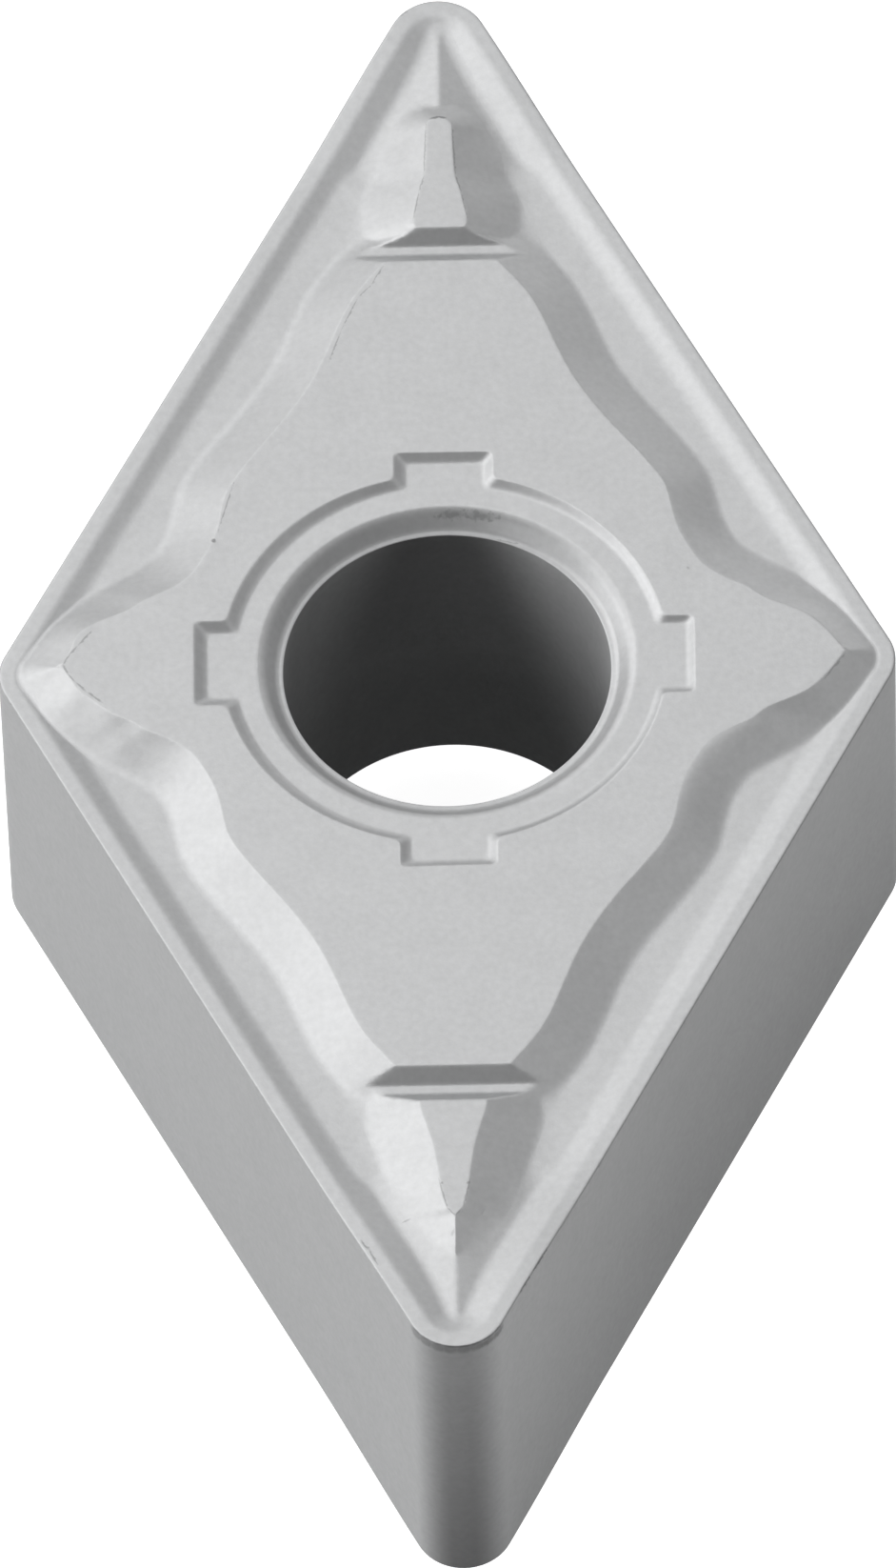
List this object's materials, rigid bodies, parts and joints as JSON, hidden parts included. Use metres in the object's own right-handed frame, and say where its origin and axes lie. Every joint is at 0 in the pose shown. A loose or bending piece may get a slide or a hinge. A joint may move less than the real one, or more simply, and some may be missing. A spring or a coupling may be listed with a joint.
{
  "type": "rhombic cutting insert",
  "caption": "Double-sided rhombic cutting insert of sintered carbide, with moulded chip grooves behind the cutting edges and a central clamping hole.",
  "frame": {"origin": "on the axis of the clamping hole, at the level of the lower seat", "axes": "+X along the short diagonal, +Y along the long diagonal through the two cutting noses, +Z along the clamping hole"},
  "size_m": [0.0142, 0.0256, 0.0066],
  "materials": {
    "carbide": "fine satin, uncoated grey"
  },
  "bodies": {
    "root": {"insert": "carbide"}
  },
  "joints": []
}
